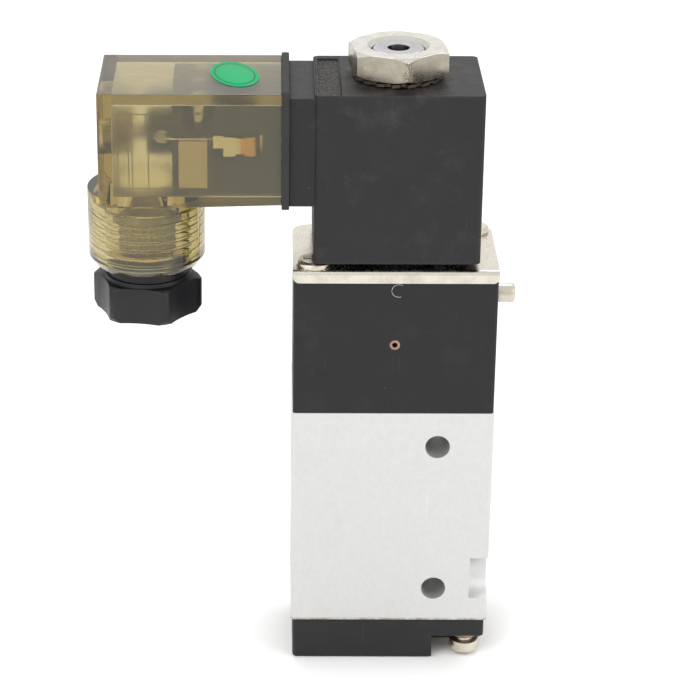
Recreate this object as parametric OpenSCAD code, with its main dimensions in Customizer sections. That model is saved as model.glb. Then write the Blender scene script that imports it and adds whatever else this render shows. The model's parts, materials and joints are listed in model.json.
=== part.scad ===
// Pilot-operated solenoid directional valve standing on its end cap.
// +X is the outlet-port side, +Y the back, +Z runs from the end cap to the coil nut.
// The origin is on the spool axis, on the bottom face of the end cap.

/* [Valve body] */
// Width of the body between the two port faces
body_w = 35; // [35:0.5:37]
// Depth of the body
body_d = 22; // [22:0.5:23.5]
// Height of the aluminium body
body_h = 41; // [41:0.5:43]
// Tapping radius of the G1/4 ports
port_r = 5.9; // [5.7:0.05:5.95]
// Depth of the tapped part of each port
port_depth = 9; // [8:0.25:9]
// Distance between neighbouring ports along the spool
port_pitch = 9.5; // [9.3:0.05:9.5]
// Distance of the side mounting holes from the spool axis
side_hole_x = 7.85; // [7.8:0.05:8.2]
// Distance between the two side mounting holes
side_hole_pitch = 28; // [27:0.5:29]
// Radius of the side mounting holes
side_hole_r = 2.1; // [1.9:0.05:2.1]

/* [Spool] */
// Radius of the spool bore
bore_r = 5; // [4.95:0.01:5]
// Radial running clearance of everything that slides
run_gap = 0.05; // [0.03:0.01:0.06]
// Radius of the pilot piston
piston_r = 7; // [6.5:0.1:7]
// Stroke of the spool
spool_stroke = 2.8; // [2.6:0.1:2.8]

/* [End cap] */
// Height of the end cap
cap_h = 8; // [8:0.5:9]
// Thickness of the cap's screw flange
cap_flange_h = 3.5; // [3:0.25:3.5]

/* [Pilot block] */
// Height of the pilot block
pilot_h = 25; // [25:0.5:27]
// Height of the override pin's axis above the body
override_up = 18.1; // [18:0.05:18.2]
// Radius of the override plunger
override_r = 1.65; // [1.6:0.05:1.65]
// How far the override plunger stands out of the block
override_out = 3.8; // [3:0.1:4]

/* [Cover plate] */
// Thickness of the cover plate
plate_t = 1.5; // [1.2:0.1:1.6]
// Depth of the folded front edge below the plate's top
plate_fold = 2.2; // [2:0.1:2.4]

/* [Coil] */
// Width of the coil
coil_w = 28.2; // [27:0.2:29]
// Depth of the coil
coil_d = 22.2; // [22:0.2:23]
// Height of the coil
coil_h = 29.7; // [29.5:0.1:31]
// Gap between the coil and the cover plate
coil_seat = 1.3; // [1.3:0.1:1.6]
// Radius of the core tube
tube_r = 4.4; // [4.2:0.05:4.5]
// Distance across the flats of the coil nut
nut_af = 15.5; // [15:0.5:17]
// Height of the coil nut
nut_h = 4.3; // [4:0.1:5]
// How far the coil nut is turned
nut_turn = 38; // [0:1:60]

/* [Connector] */
// Length of the connector housing
conn_l = 30.5; // [30:0.5:32]
// Height of the connector housing
conn_h = 19.9; // [19.9:0.1:21]
// Depth of the connector housing
conn_d = 22; // [21.5:0.5:22.5]
// Wall thickness of the connector housing
conn_wall = 2.3; // [2:0.1:2.4]
// Thickness of the housing's floor
conn_floor = 1.5; // [1.4:0.1:2]
// Radius of the cable collar
collar_r = 10.05; // [9.8:0.05:10.3]
// Radius of the collar's threaded bore
collar_bore_r = 6.6; // [6.5:0.05:6.7]
// Height of the gland nut, from its foot to the top of its neck
gland_h = 8.5; // [8:0.1:9]
// Radius of the cable hole in the gland nut
cable_r = 3.6; // [3:0.1:3.8]

/* [Hidden] */
$fn = 64;
eps = 0.02;

// Levels up the spool axis
body_z = cap_h;
body_top = body_z + body_h;
pilot_top = body_top + pilot_h;
plate_top = pilot_top + plate_t;
coil_z = plate_top + coil_seat;
coil_top = coil_z + coil_h;
port_mid_z = body_z + body_h / 2;
supply_z = port_mid_z - port_pitch;
exhaust_z = port_mid_z + port_pitch;

// Fasteners through the corners
corner_x = body_w / 2 - 3.6;
corner_y = body_d / 2 - 3.1;
m3_r = 1.45;
m3_tapped_r = 1.5;
m3_clear_r = 1.7;

// Spool lands, measured from the middle port
groove_r = 6.3;
groove_h = 4;
waist_r = 2.8;
stem_r = 3;
land_r = bore_r - 0.15;
ring_r = 0.72;
ring_mid_r = bore_r - 0.8;
seal_z = [port_mid_z - 14, port_mid_z - 6.3, port_mid_z + 9, port_mid_z + 15.5];
wear_z = [port_mid_z - 15.75, port_mid_z + 17.75];
wear_h = 1.1;
spool_z = port_mid_z - 16.7;
spool_top = body_top + 3.4;

// Piston chamber
piston_z = spool_top;
piston_h = 4;
piston_seal_z = piston_z + 2.1;
chamber_top = piston_z + piston_h + 0.4;

// Return spring pocket in the cap
pocket_r = 4.2;
pocket_z = 1.5;
seat_r = 3.6;
seat_h = 1.8;
spring_top = spool_z - seat_h;

// End cap
cap_w = body_w - 0.6;
cap_d = body_d - 0.8;
cap_recess_x = 7.9;
cap_recess_y = 3.5;
cap_screw_top = body_z + 3.6;
cap_head_z = 0.5;
cap_head_h = 2.4;
cap_head_r = 2.65;
washer_t = 0.75;

// Pilot block
pilot_w = body_w - 0.2;
pilot_d = body_d - 0.2;
nozzle_z = body_top + 20.3;
armature_room_r = 4.7;
armature_room_z = nozzle_z - 2.4;
tube_flange_r = 7;
tube_flange_t = 1.5;
tube_seat_z = pilot_top - 3;
override_z = body_top + override_up;
override_tip = pilot_w / 2 + override_out;
override_step = 7.7;
override_shoulder = 10.9;
override_stem_r = 0.9;
override_travel = 2;
override_pin_x = 13.8;
override_pin_r = 0.6;
override_groove_r = 1.1;
plug_z = body_top + 12.8;
plug_r = 0.95;

// Core tube and armature
tube_bore_r = tube_r - 0.55;
armature_r = tube_bore_r - run_gap;
armature_z = nozzle_z + 0.3;
armature_top = armature_z + 21.4;
armature_lift = 0.9;
core_z = armature_top + 1;
tube_top = coil_top - 3.3;
core_top = coil_top + 4.9;

// Coil inside
coil_skin = 2.3;
coil_hole_r = tube_r + 0.25;
yoke_t = 1.5;
pedestal_x = coil_w / 2 + 4.1;
pedestal_d = coil_d - 1.2;
pedestal_z = coil_z + 10.1;
pedestal_top = coil_top - 0.7;

// Connector
gasket_t = 1.3;
conn_x = -(pedestal_x + gasket_t);
conn_end = conn_x - conn_l;
conn_top = coil_top + 0.1;
conn_z = conn_top - conn_h;
conn_mid_z = conn_top - 9.6;
insert_l = 18;
insert_x = conn_x - 0.2;
insert_z = conn_z + conn_floor + 0.2;
insert_top = conn_top - conn_wall - 0.2;
insert_d = conn_d - 2 * conn_wall - 0.4;
insert_front = -insert_d / 2;
blade_y = 5;
blade_t = 0.8;
blade_w = 6;
blade_end = conn_x - 6;
earth_z = conn_mid_z - 6.3;
clip_l = 6.4;
clip_wall = 0.8;
clip_end = insert_x - 0.8 - clip_l;
screw_head_r = 2.75;
fix_recess = 3.2;
terminal_x = conn_x - 13.8;
terminal_y = 6.8;
terminal_hole_r = 1.7;
boss_r = 4;
boss_l = 4.4;
resistor_x = conn_x - 14.75;
resistor_low = conn_mid_z - 7.3;
resistor_high = conn_mid_z + 1;
lamp_z = conn_mid_z + 1.3;
lamp_r = 1.05;
lamp_l = 3.1;
curl_r = 1.65;
curl_x = conn_x - 5.25;
curl_y = insert_front + 0.15 + curl_r;
strip_x = conn_x - 11.4;
strip_low = conn_mid_z - 1.75;
strip_high = conn_mid_z + 1.9;

// Cable gland
gland_x = conn_end + 7.4;
collar_z = conn_top - 33.3;
collar_floor_z = collar_z + 10.6;
thread_pitch = 1.5;
thread_depth = 0.5;
thread_rings = 6;
cable_hole_r = 4.75;
gland_gap = 0.5;
gland_top = collar_z - gland_gap;
spigot_top = collar_z + 2.4;
gland_washer_t = 0.5;
grommet_z = spigot_top + gland_washer_t + 0.45;
gland_corner_r = 9.45;
gland_hex_r = 9.9;
gland_neck_h = 2.1;

// Cylinder along X from one x to another
module x_rod(r, x0, x1, y = 0, z = 0) {
    translate([x0, y, z])
        rotate([0, 90, 0])
            cylinder(r = r, h = x1 - x0);
}

// Cylinder along Y from one y to another
module y_rod(r, y0, y1, x = 0, z = 0) {
    translate([x, y1, z])
        rotate([90, 0, 0])
            cylinder(r = r, h = y1 - y0);
}

// Cylinder along Z from one level to another
module z_rod(r, z0, z1, x = 0, y = 0) {
    translate([x, y, z0])
        cylinder(r = r, h = z1 - z0);
}

// Ring with a square section
module ring(r_out, r_in, z0, z1) {
    difference() {
        z_rod(r_out, z0, z1);
        z_rod(r_in, z0 - eps, z1 + eps);
    }
}

// O-ring lying flat
module o_ring(mid_r, wire_r, z) {
    translate([0, 0, z])
        rotate_extrude()
            translate([mid_r, 0])
                circle(r = wire_r, $fn = 24);
}

// Box given by its lowest and highest corners
module span(low, high) {
    translate(low)
        cube(high - low);
}

// Upright block, centred, with rounded vertical edges
module block(w, d, z0, z1, r) {
    span([-w / 2 + r, -d / 2, z0], [w / 2 - r, d / 2, z1]);
    span([-w / 2, -d / 2 + r, z0], [w / 2, d / 2 - r, z1]);
    for (x = [-1, 1], y = [-1, 1])
        z_rod(r, z0, z1, x * (w / 2 - r), y * (d / 2 - r));
}

// Both screws of a diagonal pair; side +1 puts them front right and back left
module diagonal(side) {
    for (end = [-1, 1])
        translate([side * end * corner_x, -end * corner_y, 0])
            children();
}

module port(x_face, z) {
    toward = sign(x_face);
    inner = x_face - toward * port_depth;
    x_rod(port_r, min(x_face + toward * eps, inner), max(x_face + toward * eps, inner), 0, z);
    x_rod(port_r / 2 + 0.3, min(0, inner), max(0, inner), 0, z);
    mouth = toward > 0 ? x_face - 1 : x_face - eps;
    translate([mouth, 0, z])
        rotate([0, 90, 0])
            cylinder(
                r1 = toward > 0 ? port_r : port_r + 1,
                r2 = toward > 0 ? port_r + 1 : port_r,
                h = 1 + eps
            );
}

module valve_body() {
    seat_x = body_w / 2 - 3.25;
    seat_z = body_z + 8.5;
    color([0.86, 0.86, 0.85])
        difference() {
            block(body_w, body_d, body_z, body_top, 0.5);
            z_rod(bore_r, body_z - eps, body_top + eps);
            for (z = [supply_z, port_mid_z, exhaust_z])
                z_rod(groove_r, z - groove_h / 2, z + groove_h / 2);
            port(-body_w / 2, supply_z);
            port(-body_w / 2, exhaust_z);
            port(body_w / 2, port_mid_z);
            for (z = [-1, 1])
                y_rod(side_hole_r, -body_d, body_d, side_hole_x, port_mid_z + z * side_hole_pitch / 2);
            x_rod(4, seat_x, body_w, -body_d / 2, seat_z);
            diagonal(1)
                z_rod(m3_tapped_r, body_z - eps, body_z + 4);
            diagonal(-1)
                z_rod(m3_tapped_r, body_top - 9, body_top + eps);
        }
}

module end_cap() {
    color([0.13, 0.13, 0.14])
        difference() {
            block(cap_w, cap_d, 0, cap_h, 0.8);
            for (turn = [0, 180])
                rotate([0, 0, turn])
                    span([cap_recess_x, -body_d, -1], [body_w, -cap_recess_y, cap_h - cap_flange_h]);
            z_rod(pocket_r, pocket_z, cap_h + eps);
            translate([0, 0, cap_h - 1.25])
                ring(6.6, 5.2, 0, 1.25 + eps);
            diagonal(1)
                z_rod(m3_clear_r, -eps, cap_h + eps);
        }
}

module end_cap_seal() {
    color([0.08, 0.08, 0.08])
        o_ring(5.9, 0.6, cap_h - 0.62);
}

module cross_slots(r, z0, z1) {
    for (turn = [0, 90])
        rotate([0, 0, turn])
            span([-r, -0.3, z0], [r, 0.3, z1]);
}

// Pan head screw standing head down
module end_cap_screws() {
    color([0.78, 0.76, 0.7])
        diagonal(1)
            difference() {
                union() {
                    z_rod(cap_head_r, cap_head_z + 0.6, cap_head_z + cap_head_h);
                    translate([0, 0, cap_head_z])
                        cylinder(r1 = cap_head_r - 0.7, r2 = cap_head_r, h = 0.6);
                    z_rod(m3_r, cap_head_z + cap_head_h, cap_screw_top);
                }
                cross_slots(1.4, cap_head_z - eps, cap_head_z + 1);
            }
}

module end_cap_washers() {
    low = cap_h - cap_flange_h - washer_t;
    color([0.62, 0.5, 0.4])
        diagonal(1)
            difference() {
                ring(2.3, m3_r + 0.1, low, low + washer_t);
                rotate([20, 0, 35])
                    span([1, -0.2, low - 2], [3, 0.2, low + 3]);
            }
}

module return_spring() {
    color([0.6, 0.6, 0.6])
        ring(3.2, 2.5, pocket_z, spring_top);
}

module spring_seat() {
    color([0.75, 0.62, 0.35])
        union() {
            z_rod(seat_r, spring_top, spool_z);
            z_rod(2.1, spring_top - 1.4, spring_top);
        }
}

module seal_groove(z, r, h) {
    ring(bore_r + 1, r, z - h / 2, z + h / 2);
}

module spool() {
    color([0.7, 0.72, 0.75])
        difference() {
            union() {
                z_rod(waist_r, spool_z, spool_top);
                z_rod(land_r, spool_z, seal_z[0] + 2.5);
                z_rod(land_r, seal_z[1] - 1.4, seal_z[1] + 1.4);
                z_rod(land_r, seal_z[2] - 1.4, seal_z[2] + 1.4);
                z_rod(land_r, seal_z[3] - 1.4, body_top - 1.5);
                z_rod(stem_r, body_top - 1.5, spool_top);
            }
            for (z = seal_z)
                seal_groove(z, ring_mid_r - ring_r - 0.03, 2 * ring_r + 0.06);
            for (z = wear_z)
                seal_groove(z, bore_r - 0.75, wear_h + 0.1);
        }
}

module spool_seals() {
    color([0.1, 0.1, 0.1])
        for (z = seal_z)
            o_ring(ring_mid_r, ring_r, z);
}

module wear_rings() {
    color([0.9, 0.88, 0.8])
        for (z = wear_z)
            ring(bore_r - run_gap, bore_r - 0.7, z - wear_h / 2, z + wear_h / 2);
}

module piston() {
    color([0.9, 0.9, 0.87])
        difference() {
            z_rod(piston_r, piston_z, piston_z + piston_h);
            ring(piston_r + 1, piston_r - 1.25, piston_seal_z - 0.65, piston_seal_z + 0.65);
            z_rod(3.6, piston_z + piston_h - 1.2, piston_z + piston_h + eps);
        }
}

module piston_seal() {
    color([0.1, 0.1, 0.1])
        o_ring(piston_r - 0.6, 0.6, piston_seal_z);
}

module pilot_block() {
    half = pilot_w / 2;
    color([0.12, 0.12, 0.13])
        difference() {
            block(pilot_w, pilot_d, body_top, pilot_top, 0.6);
            z_rod(piston_r + run_gap, body_top - eps, chamber_top);
            ring(9.3, 7.6, body_top - eps, body_top + 0.65);
            z_rod(tube_flange_r + 0.1, tube_seat_z, pilot_top + eps);
            ring(armature_room_r, 1.6, armature_room_z, nozzle_z);
            z_rod(armature_room_r, nozzle_z, tube_seat_z + eps);
            z_rod(0.5, plug_z, nozzle_z + eps);
            y_rod(plug_r, -body_d, 0, 0, plug_z);
            z_rod(0.6, chamber_top - eps, armature_room_z + eps, -3, 0);
            x_rod(override_stem_r + run_gap, 2.4, half, 0, override_z);
            x_rod(override_r + run_gap, override_step, half + eps, 0, override_z);
            z_rod(override_pin_r, override_z - 2.5, pilot_top + eps, override_pin_x, override_r + 0.1);
            diagonal(-1)
                z_rod(m3_clear_r, body_top - eps, pilot_top + eps);
            span([-body_w, -body_d, plate_top - plate_fold - 0.05], [body_w, -pilot_d / 2 + 1.25, pilot_top + eps]);
        }
}

module pilot_gasket() {
    color([0.2, 0.2, 0.2])
        ring(9.2, 7.7, body_top, body_top + 0.6);
}

// Bush that closes the cross drilling under the nozzle
module pilot_plug() {
    front = -pilot_d / 2 + 0.1;
    color([0.72, 0.45, 0.3])
        difference() {
            y_rod(plug_r - 0.01, front, front + 4, 0, plug_z);
            y_rod(0.45, front - eps, front + 2.5, 0, plug_z);
        }
}

module override_plunger() {
    color([0.8, 0.78, 0.72])
        difference() {
            union() {
                x_rod(override_stem_r, 5, override_shoulder, 0, override_z);
                x_rod(override_r, override_shoulder, override_tip - 0.3, 0, override_z);
                translate([override_tip - 0.3, 0, override_z])
                    rotate([0, 90, 0])
                        cylinder(r1 = override_r, r2 = override_r - 0.3, h = 0.3);
            }
            translate([override_shoulder + 0.4, 0, override_z])
                rotate([0, 90, 0])
                    ring(override_r + 1, 1, 0, 1.2);
            translate([override_pin_x - override_pin_r - 0.05, 0, override_z])
                rotate([0, 90, 0])
                    ring(override_r + 1, override_groove_r, 0, override_travel + 2 * override_pin_r + 0.1);
            span([override_tip - 0.5, -0.3, override_z - 2], [override_tip + 1, 0.3, override_z + 2]);
        }
}

module override_seal() {
    color([0.1, 0.1, 0.1])
        translate([override_shoulder + 1, 0, override_z])
            rotate([0, 90, 0])
                o_ring(1.34, 0.33, 0);
}

module override_spring() {
    color([0.6, 0.6, 0.6])
        translate([override_step, 0, override_z])
            rotate([0, 90, 0])
                ring(1.6, 1.15, 0, override_shoulder - override_step);
}

// Pin beside the plunger that keeps it in the block
module override_pin() {
    color([0.7, 0.7, 0.7])
        z_rod(override_pin_r - 0.01, override_z - 2.4, pilot_top - 0.1, override_pin_x, override_r + 0.1);
}

module cover_plate() {
    half = body_w / 2;
    back_r = 3.2;
    fold_r = plate_fold / 2;
    fold_z = plate_top - plate_fold;
    front = -body_d / 2 - 0.1;
    fold_back = front + 1.3;
    color([0.82, 0.8, 0.76])
        difference() {
            union() {
                span([-half, fold_back, pilot_top], [half, body_d / 2 - back_r, plate_top]);
                span([-half + back_r, 0, pilot_top], [half - back_r, body_d / 2, plate_top]);
                for (side = [-1, 1]) {
                    z_rod(back_r, pilot_top, plate_top, side * (half - back_r), body_d / 2 - back_r);
                    y_rod(fold_r, front, fold_back, side * (half - fold_r), fold_z + fold_r);
                }
                span([-half + fold_r, front, fold_z], [half - fold_r, fold_back, plate_top]);
                span([-half, front, fold_z + fold_r], [half, fold_back, plate_top]);
            }
            z_rod(tube_r + 0.15, pilot_top - eps, plate_top + eps);
            diagonal(-1)
                z_rod(m3_clear_r, pilot_top - eps, plate_top + eps);
        }
}

module plate_screws() {
    head_r = 3.05;
    head_h = 1.15;
    color([0.8, 0.78, 0.72])
        diagonal(-1)
            difference() {
                union() {
                    z_rod(head_r, plate_top, plate_top + head_h - 0.35);
                    translate([0, 0, plate_top + head_h - 0.35])
                        cylinder(r1 = head_r, r2 = head_r - 0.6, h = 0.35);
                    z_rod(m3_r, body_top - 8, plate_top);
                }
                cross_slots(1.7, plate_top + 0.3, plate_top + head_h + eps);
            }
}

module core_tube() {
    color([0.8, 0.72, 0.5])
        difference() {
            union() {
                z_rod(tube_flange_r, pilot_top - tube_flange_t, pilot_top);
                z_rod(tube_r, pilot_top - tube_flange_t, tube_top);
            }
            z_rod(tube_bore_r, pilot_top - 3, tube_top + eps);
        }
}

module tube_seal() {
    color([0.1, 0.1, 0.1])
        o_ring(5.9, 0.74, tube_seat_z + 0.75);
}

module fixed_core() {
    color([0.72, 0.71, 0.68])
        difference() {
            union() {
                z_rod(tube_bore_r - 0.02, core_z, tube_top);
                z_rod(tube_r, tube_top, core_top - 0.4);
                translate([0, 0, core_top - 0.4])
                    cylinder(r1 = tube_r, r2 = tube_r - 0.3, h = 0.4);
            }
            z_rod(0.8, core_z - eps, core_top);
            z_rod(1.8, core_top - 7, core_top + eps);
        }
}

module armature() {
    color([0.62, 0.62, 0.62])
        difference() {
            z_rod(armature_r, armature_z, armature_top);
            z_rod(2, armature_z - eps, armature_z + 1.6);
            z_rod(2.1, armature_top - 8, armature_top + eps);
        }
}

module armature_seal() {
    color([0.15, 0.12, 0.1])
        z_rod(1.95, armature_z - 0.2, armature_z + 1.55);
}

module armature_spring() {
    color([0.7, 0.7, 0.7])
        ring(1.9, 1.4, armature_top - 8, core_z);
}

module coil_lower_washer() {
    color([0.2, 0.2, 0.2])
        ring(7, tube_r + 0.1, plate_top, coil_z);
}

// Slots for the three blades, grown by a clearance
module blade_slots(x0, x1, gap) {
    for (side = [-1, 1])
        span(
            [x0, side * blade_y - blade_t / 2 - gap, conn_mid_z - blade_w / 2 - gap],
            [x1, side * blade_y + blade_t / 2 + gap, conn_mid_z + blade_w / 2 + gap]
        );
    span(
        [x0, -blade_w / 2 - gap, earth_z - blade_t / 2 - gap],
        [x1, blade_w / 2 + gap, earth_z + blade_t / 2 + gap]
    );
}

module coil_housing() {
    inner_x = coil_w / 2 - coil_skin;
    inner_y = coil_d / 2 - coil_skin + 0.2;
    mark = [[-13.4, -8.2], [-9.9, 9.4]];
    color([0.16, 0.16, 0.17])
        difference() {
            union() {
                block(coil_w, coil_d, coil_z, coil_top, 1);
                span([-pedestal_x, -pedestal_d / 2, pedestal_z], [-coil_w / 2 + 1, pedestal_d / 2, pedestal_top]);
            }
            span([-inner_x, -inner_y, coil_z + coil_skin], [inner_x, inner_y, coil_top - coil_skin]);
            z_rod(coil_hole_r, coil_z - eps, coil_top + eps);
            blade_slots(-pedestal_x - eps, -inner_x + eps, 0.05);
            x_rod(2.42, -pedestal_x - eps, -inner_x + eps, 0, conn_mid_z);
            span([mark[0][0], mark[0][1], coil_top - 0.35], [mark[1][0], mark[1][1], coil_top + eps]);
        }
}

// Closed steel frame round the winding
module coil_yoke() {
    half = coil_w / 2 - coil_skin - 0.2;
    low = coil_z + coil_skin + 0.1;
    high = coil_top - coil_skin - 0.1;
    color([0.55, 0.56, 0.58])
        difference() {
            span([-half, -7, low], [half, 7, high]);
            span([-half + yoke_t, -8, low + yoke_t], [half - yoke_t, 8, high - yoke_t]);
            z_rod(coil_hole_r, low - eps, high + eps);
            blade_slots(-half - eps, -half + yoke_t + eps, 0.3);
            x_rod(2.6, -half - eps, -half + yoke_t + eps, 0, conn_mid_z);
        }
}

module coil_bobbin() {
    low = coil_z + coil_skin + yoke_t + 0.2;
    high = coil_top - coil_skin - yoke_t - 0.2;
    color([0.85, 0.83, 0.75])
        difference() {
            union() {
                z_rod(coil_hole_r + 0.85, low, high);
                z_rod(8.5, low, low + 0.9);
                z_rod(8.5, high - 0.9, high);
            }
            z_rod(coil_hole_r + 0.05, low - eps, high + eps);
        }
}

module coil_winding() {
    low = coil_z + coil_skin + yoke_t + 1.15;
    high = coil_top - coil_skin - yoke_t - 1.15;
    color([0.7, 0.38, 0.2])
        ring(8.2, coil_hole_r + 0.9, low, high);
}

module terminal_blades() {
    start = -coil_w / 2 + coil_skin + 0.15;
    color([0.8, 0.78, 0.7])
        blade_slots(blade_end, start, 0);
}

// Threaded insert in the pedestal for the connector screw
module screw_bush() {
    color([0.78, 0.6, 0.3])
        difference() {
            x_rod(2.4, -pedestal_x + 0.05, -pedestal_x + 5, 0, conn_mid_z);
            x_rod(m3_tapped_r, -pedestal_x - 1, -pedestal_x + 6, 0, conn_mid_z);
        }
}

module coil_washer() {
    color([0.6, 0.56, 0.5])
        ring(8.6, tube_r + 0.15, coil_top, coil_top + 1);
}

module coil_nut() {
    low = coil_top + 1.05;
    high = low + nut_h;
    corner = nut_af / sqrt(3);
    crown_r = nut_af / 2 + 0.15;
    round_r = corner + 0.05;
    bevel = (round_r - crown_r) * tan(30);
    color([0.83, 0.8, 0.75])
        difference() {
            intersection() {
                translate([0, 0, low - 1])
                    rotate([0, 0, nut_turn])
                        cylinder(r = corner, h = nut_h + 2, $fn = 6);
                rotate_extrude()
                    polygon([
                        [0, low],
                        [crown_r, low],
                        [round_r, low + bevel],
                        [round_r, high - bevel],
                        [crown_r, high],
                        [0, high]
                    ]);
            }
            z_rod(tube_r + 0.08, low - eps, high + eps);
            translate([0, 0, high - 0.7])
                cylinder(r1 = tube_r + 0.1, r2 = tube_r + 0.85, h = 0.7 + eps);
        }
}

module connector_gasket() {
    half = conn_d / 2 + 0.2;
    color([0.14, 0.14, 0.15])
        difference() {
            span([conn_x, -half, conn_z - 0.2], [-pedestal_x, half, conn_top + 0.5]);
            blade_slots(conn_x - eps, -pedestal_x + eps, 0.1);
            x_rod(m3_clear_r, conn_x - eps, -pedestal_x + eps, 0, conn_mid_z);
        }
}

// Side outline of the housing: the lower edge rises a little towards the coil
module housing_outline() {
    foot_r = 2;
    polygon([
        [conn_end, conn_top],
        [conn_x, conn_top],
        [conn_x, conn_z + 0.6],
        [gland_x + 2, conn_z],
        [conn_end + foot_r, conn_z],
        for (a = [255:-15:180]) [conn_end + foot_r + foot_r * cos(a), conn_z + foot_r + foot_r * sin(a)]
    ]);
}

module connector_housing() {
    inner_y = conn_d / 2 - conn_wall;
    color([0.75, 0.65, 0.3, 0.6])
        difference() {
            union() {
                rotate([90, 0, 0])
                    linear_extrude(conn_d, center = true)
                        housing_outline();
                z_rod(collar_r, collar_z + 1.6, conn_z + 0.2, gland_x);
                translate([gland_x, 0, collar_z])
                    cylinder(r1 = collar_r - 1.1, r2 = collar_r, h = 1.6);
            }
            difference() {
                span(
                    [conn_end + conn_wall, -inner_y, conn_z + conn_floor],
                    [conn_x + eps, inner_y, conn_top - conn_wall]
                );
                x_rod(4, conn_end, conn_end + fix_recess + 2.2, 0, conn_mid_z);
            }
            x_rod(screw_head_r + 0.35, conn_end - eps, conn_end + fix_recess, 0, conn_mid_z);
            x_rod(m3_clear_r, conn_end, conn_end + fix_recess + 4, 0, conn_mid_z);
            z_rod(cable_hole_r, collar_z, conn_z + conn_floor + eps, gland_x);
            z_rod(collar_bore_r, collar_z - eps, collar_floor_z, gland_x);
            for (i = [0:thread_rings - 1])
                z_rod(
                    collar_bore_r + thread_depth,
                    collar_z + (i + 0.8) * thread_pitch,
                    collar_z + (i + 1.2) * thread_pitch,
                    gland_x
                );
        }
}

module connector_insert() {
    room = 0.15;
    color([0.2, 0.2, 0.19])
        difference() {
            union() {
                span([insert_x - insert_l, insert_front, insert_z], [insert_x, -insert_front, insert_top]);
                x_rod(boss_r, insert_x - insert_l - boss_l, insert_x - insert_l + 1, 0, conn_mid_z);
            }
            x_rod(m3_clear_r, insert_x - insert_l - boss_l - eps, insert_x + eps, 0, conn_mid_z);
            clip_rooms(room);
            blade_slots(blade_end - 1, insert_x + eps, 0.2);
            for (y = [-1, 0, 1])
                z_rod(terminal_hole_r, insert_top - 3.2, insert_top + eps, terminal_x, y * terminal_y);
            span(
                [terminal_x - 2.5, insert_front - eps, insert_top - 3.2],
                [terminal_x + 2.5, insert_front + 3.6, insert_top + eps]
            );
            span(
                [resistor_x - 2.45 - room, insert_front - eps, resistor_low - room],
                [resistor_x + 2.45 + room, insert_front + 1.35, resistor_high + room]
            );
            span(
                [strip_x - room, insert_front - eps, strip_low - 0.3],
                [curl_x + curl_r + 0.4, insert_front + 2.2, strip_high + 0.2]
            );
            span(
                [insert_x - insert_l - eps, insert_front - eps, lamp_z - 0.3],
                [strip_x + eps, insert_front + 0.7, lamp_z + 0.3]
            );
        }
}

// Outer shapes of the three clips, grown by a clearance
module clip_rooms(gap) {
    side = blade_t / 2 + clip_wall + gap;
    tall = blade_w / 2 + 0.3 + gap;
    for (y = [-1, 1])
        span(
            [clip_end - gap, y * blade_y - side, conn_mid_z - tall],
            [insert_x + eps * sign(gap), y * blade_y + side, conn_mid_z + tall]
        );
    span(
        [clip_end - gap, -tall, earth_z - blade_t / 2 - 0.6 - gap],
        [insert_x + eps * sign(gap), tall, earth_z + blade_t / 2 + 0.6 + gap]
    );
}

module contact_clips() {
    color([0.8, 0.68, 0.4])
        difference() {
            clip_rooms(0);
            blade_slots(clip_end + 0.6, insert_x + 1, 0.05);
            span([insert_x - 0.8, -conn_d, conn_z], [insert_x + 1, conn_d, conn_top]);
        }
}

module terminal_screws() {
    color([0.82, 0.82, 0.78])
        for (y = [-1, 0, 1])
            difference() {
                z_rod(1.35, insert_top - 3.1, insert_top - 0.2, terminal_x, y * terminal_y);
                span(
                    [terminal_x - 2, y * terminal_y - 0.2, insert_top - 0.7],
                    [terminal_x + 2, y * terminal_y + 0.2, insert_top]
                );
            }
}

// Flat contact behind the front wall, bent into an upright half tube at its end
module contact_strip() {
    front = insert_front + 0.15;
    curl_high = strip_high - 0.3;
    color([0.85, 0.7, 0.4])
        difference() {
            union() {
                span([strip_x, front, conn_mid_z - 0.3], [strip_x + 1.8, front + 0.5, strip_high]);
                span([strip_x + 1.7, front, strip_low], [strip_x + 3.8, front + 0.5, curl_high]);
                span([strip_x + 3.7, front, strip_low + 0.4], [curl_x, front + 0.5, curl_high - 0.2]);
                z_rod(curl_r, strip_low, curl_high, curl_x, curl_y);
            }
            z_rod(curl_r - 0.5, strip_low - eps, curl_high + eps, curl_x, curl_y);
            span([strip_x, curl_y, strip_low - 1], [conn_x, curl_y + 2 * curl_r, strip_high + 1]);
        }
}

module lamp_resistor() {
    color([0.8, 0.7, 0.5])
        span(
            [resistor_x - 2.45, insert_front - 0.1, resistor_low],
            [resistor_x + 2.45, insert_front + 1.2, resistor_high]
        );
}

module lamp_leads() {
    color([0.8, 0.78, 0.6])
        x_rod(0.22, insert_x - insert_l - 0.9, strip_x - 0.02, insert_front + 0.3, lamp_z);
}

module indicator_lamp() {
    tip = insert_x - insert_l - lamp_l;
    color([0.95, 0.92, 0.8, 0.7])
        union() {
            x_rod(lamp_r, tip + lamp_r, insert_x - insert_l - 0.95, insert_front + 1.3, lamp_z);
            translate([tip + lamp_r, insert_front + 1.3, lamp_z])
                sphere(r = lamp_r);
        }
}

module connector_screw() {
    head_x = conn_end + 0.5;
    color([0.7, 0.7, 0.72])
        difference() {
            union() {
                x_rod(screw_head_r, head_x, conn_end + fix_recess - 0.4, 0, conn_mid_z);
                x_rod(m3_r, conn_end + fix_recess - 0.5, -pedestal_x + 4.5, 0, conn_mid_z);
            }
            span([head_x - 1, -0.4, conn_mid_z - 3], [head_x + 1, 0.4, conn_mid_z + 3]);
        }
}

module screw_seal() {
    color([0.1, 0.1, 0.1])
        translate([conn_end + fix_recess - 0.38, 0, conn_mid_z])
            rotate([0, 90, 0])
                ring(2.6, m3_r + 0.05, 0, 0.36);
}

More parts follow.
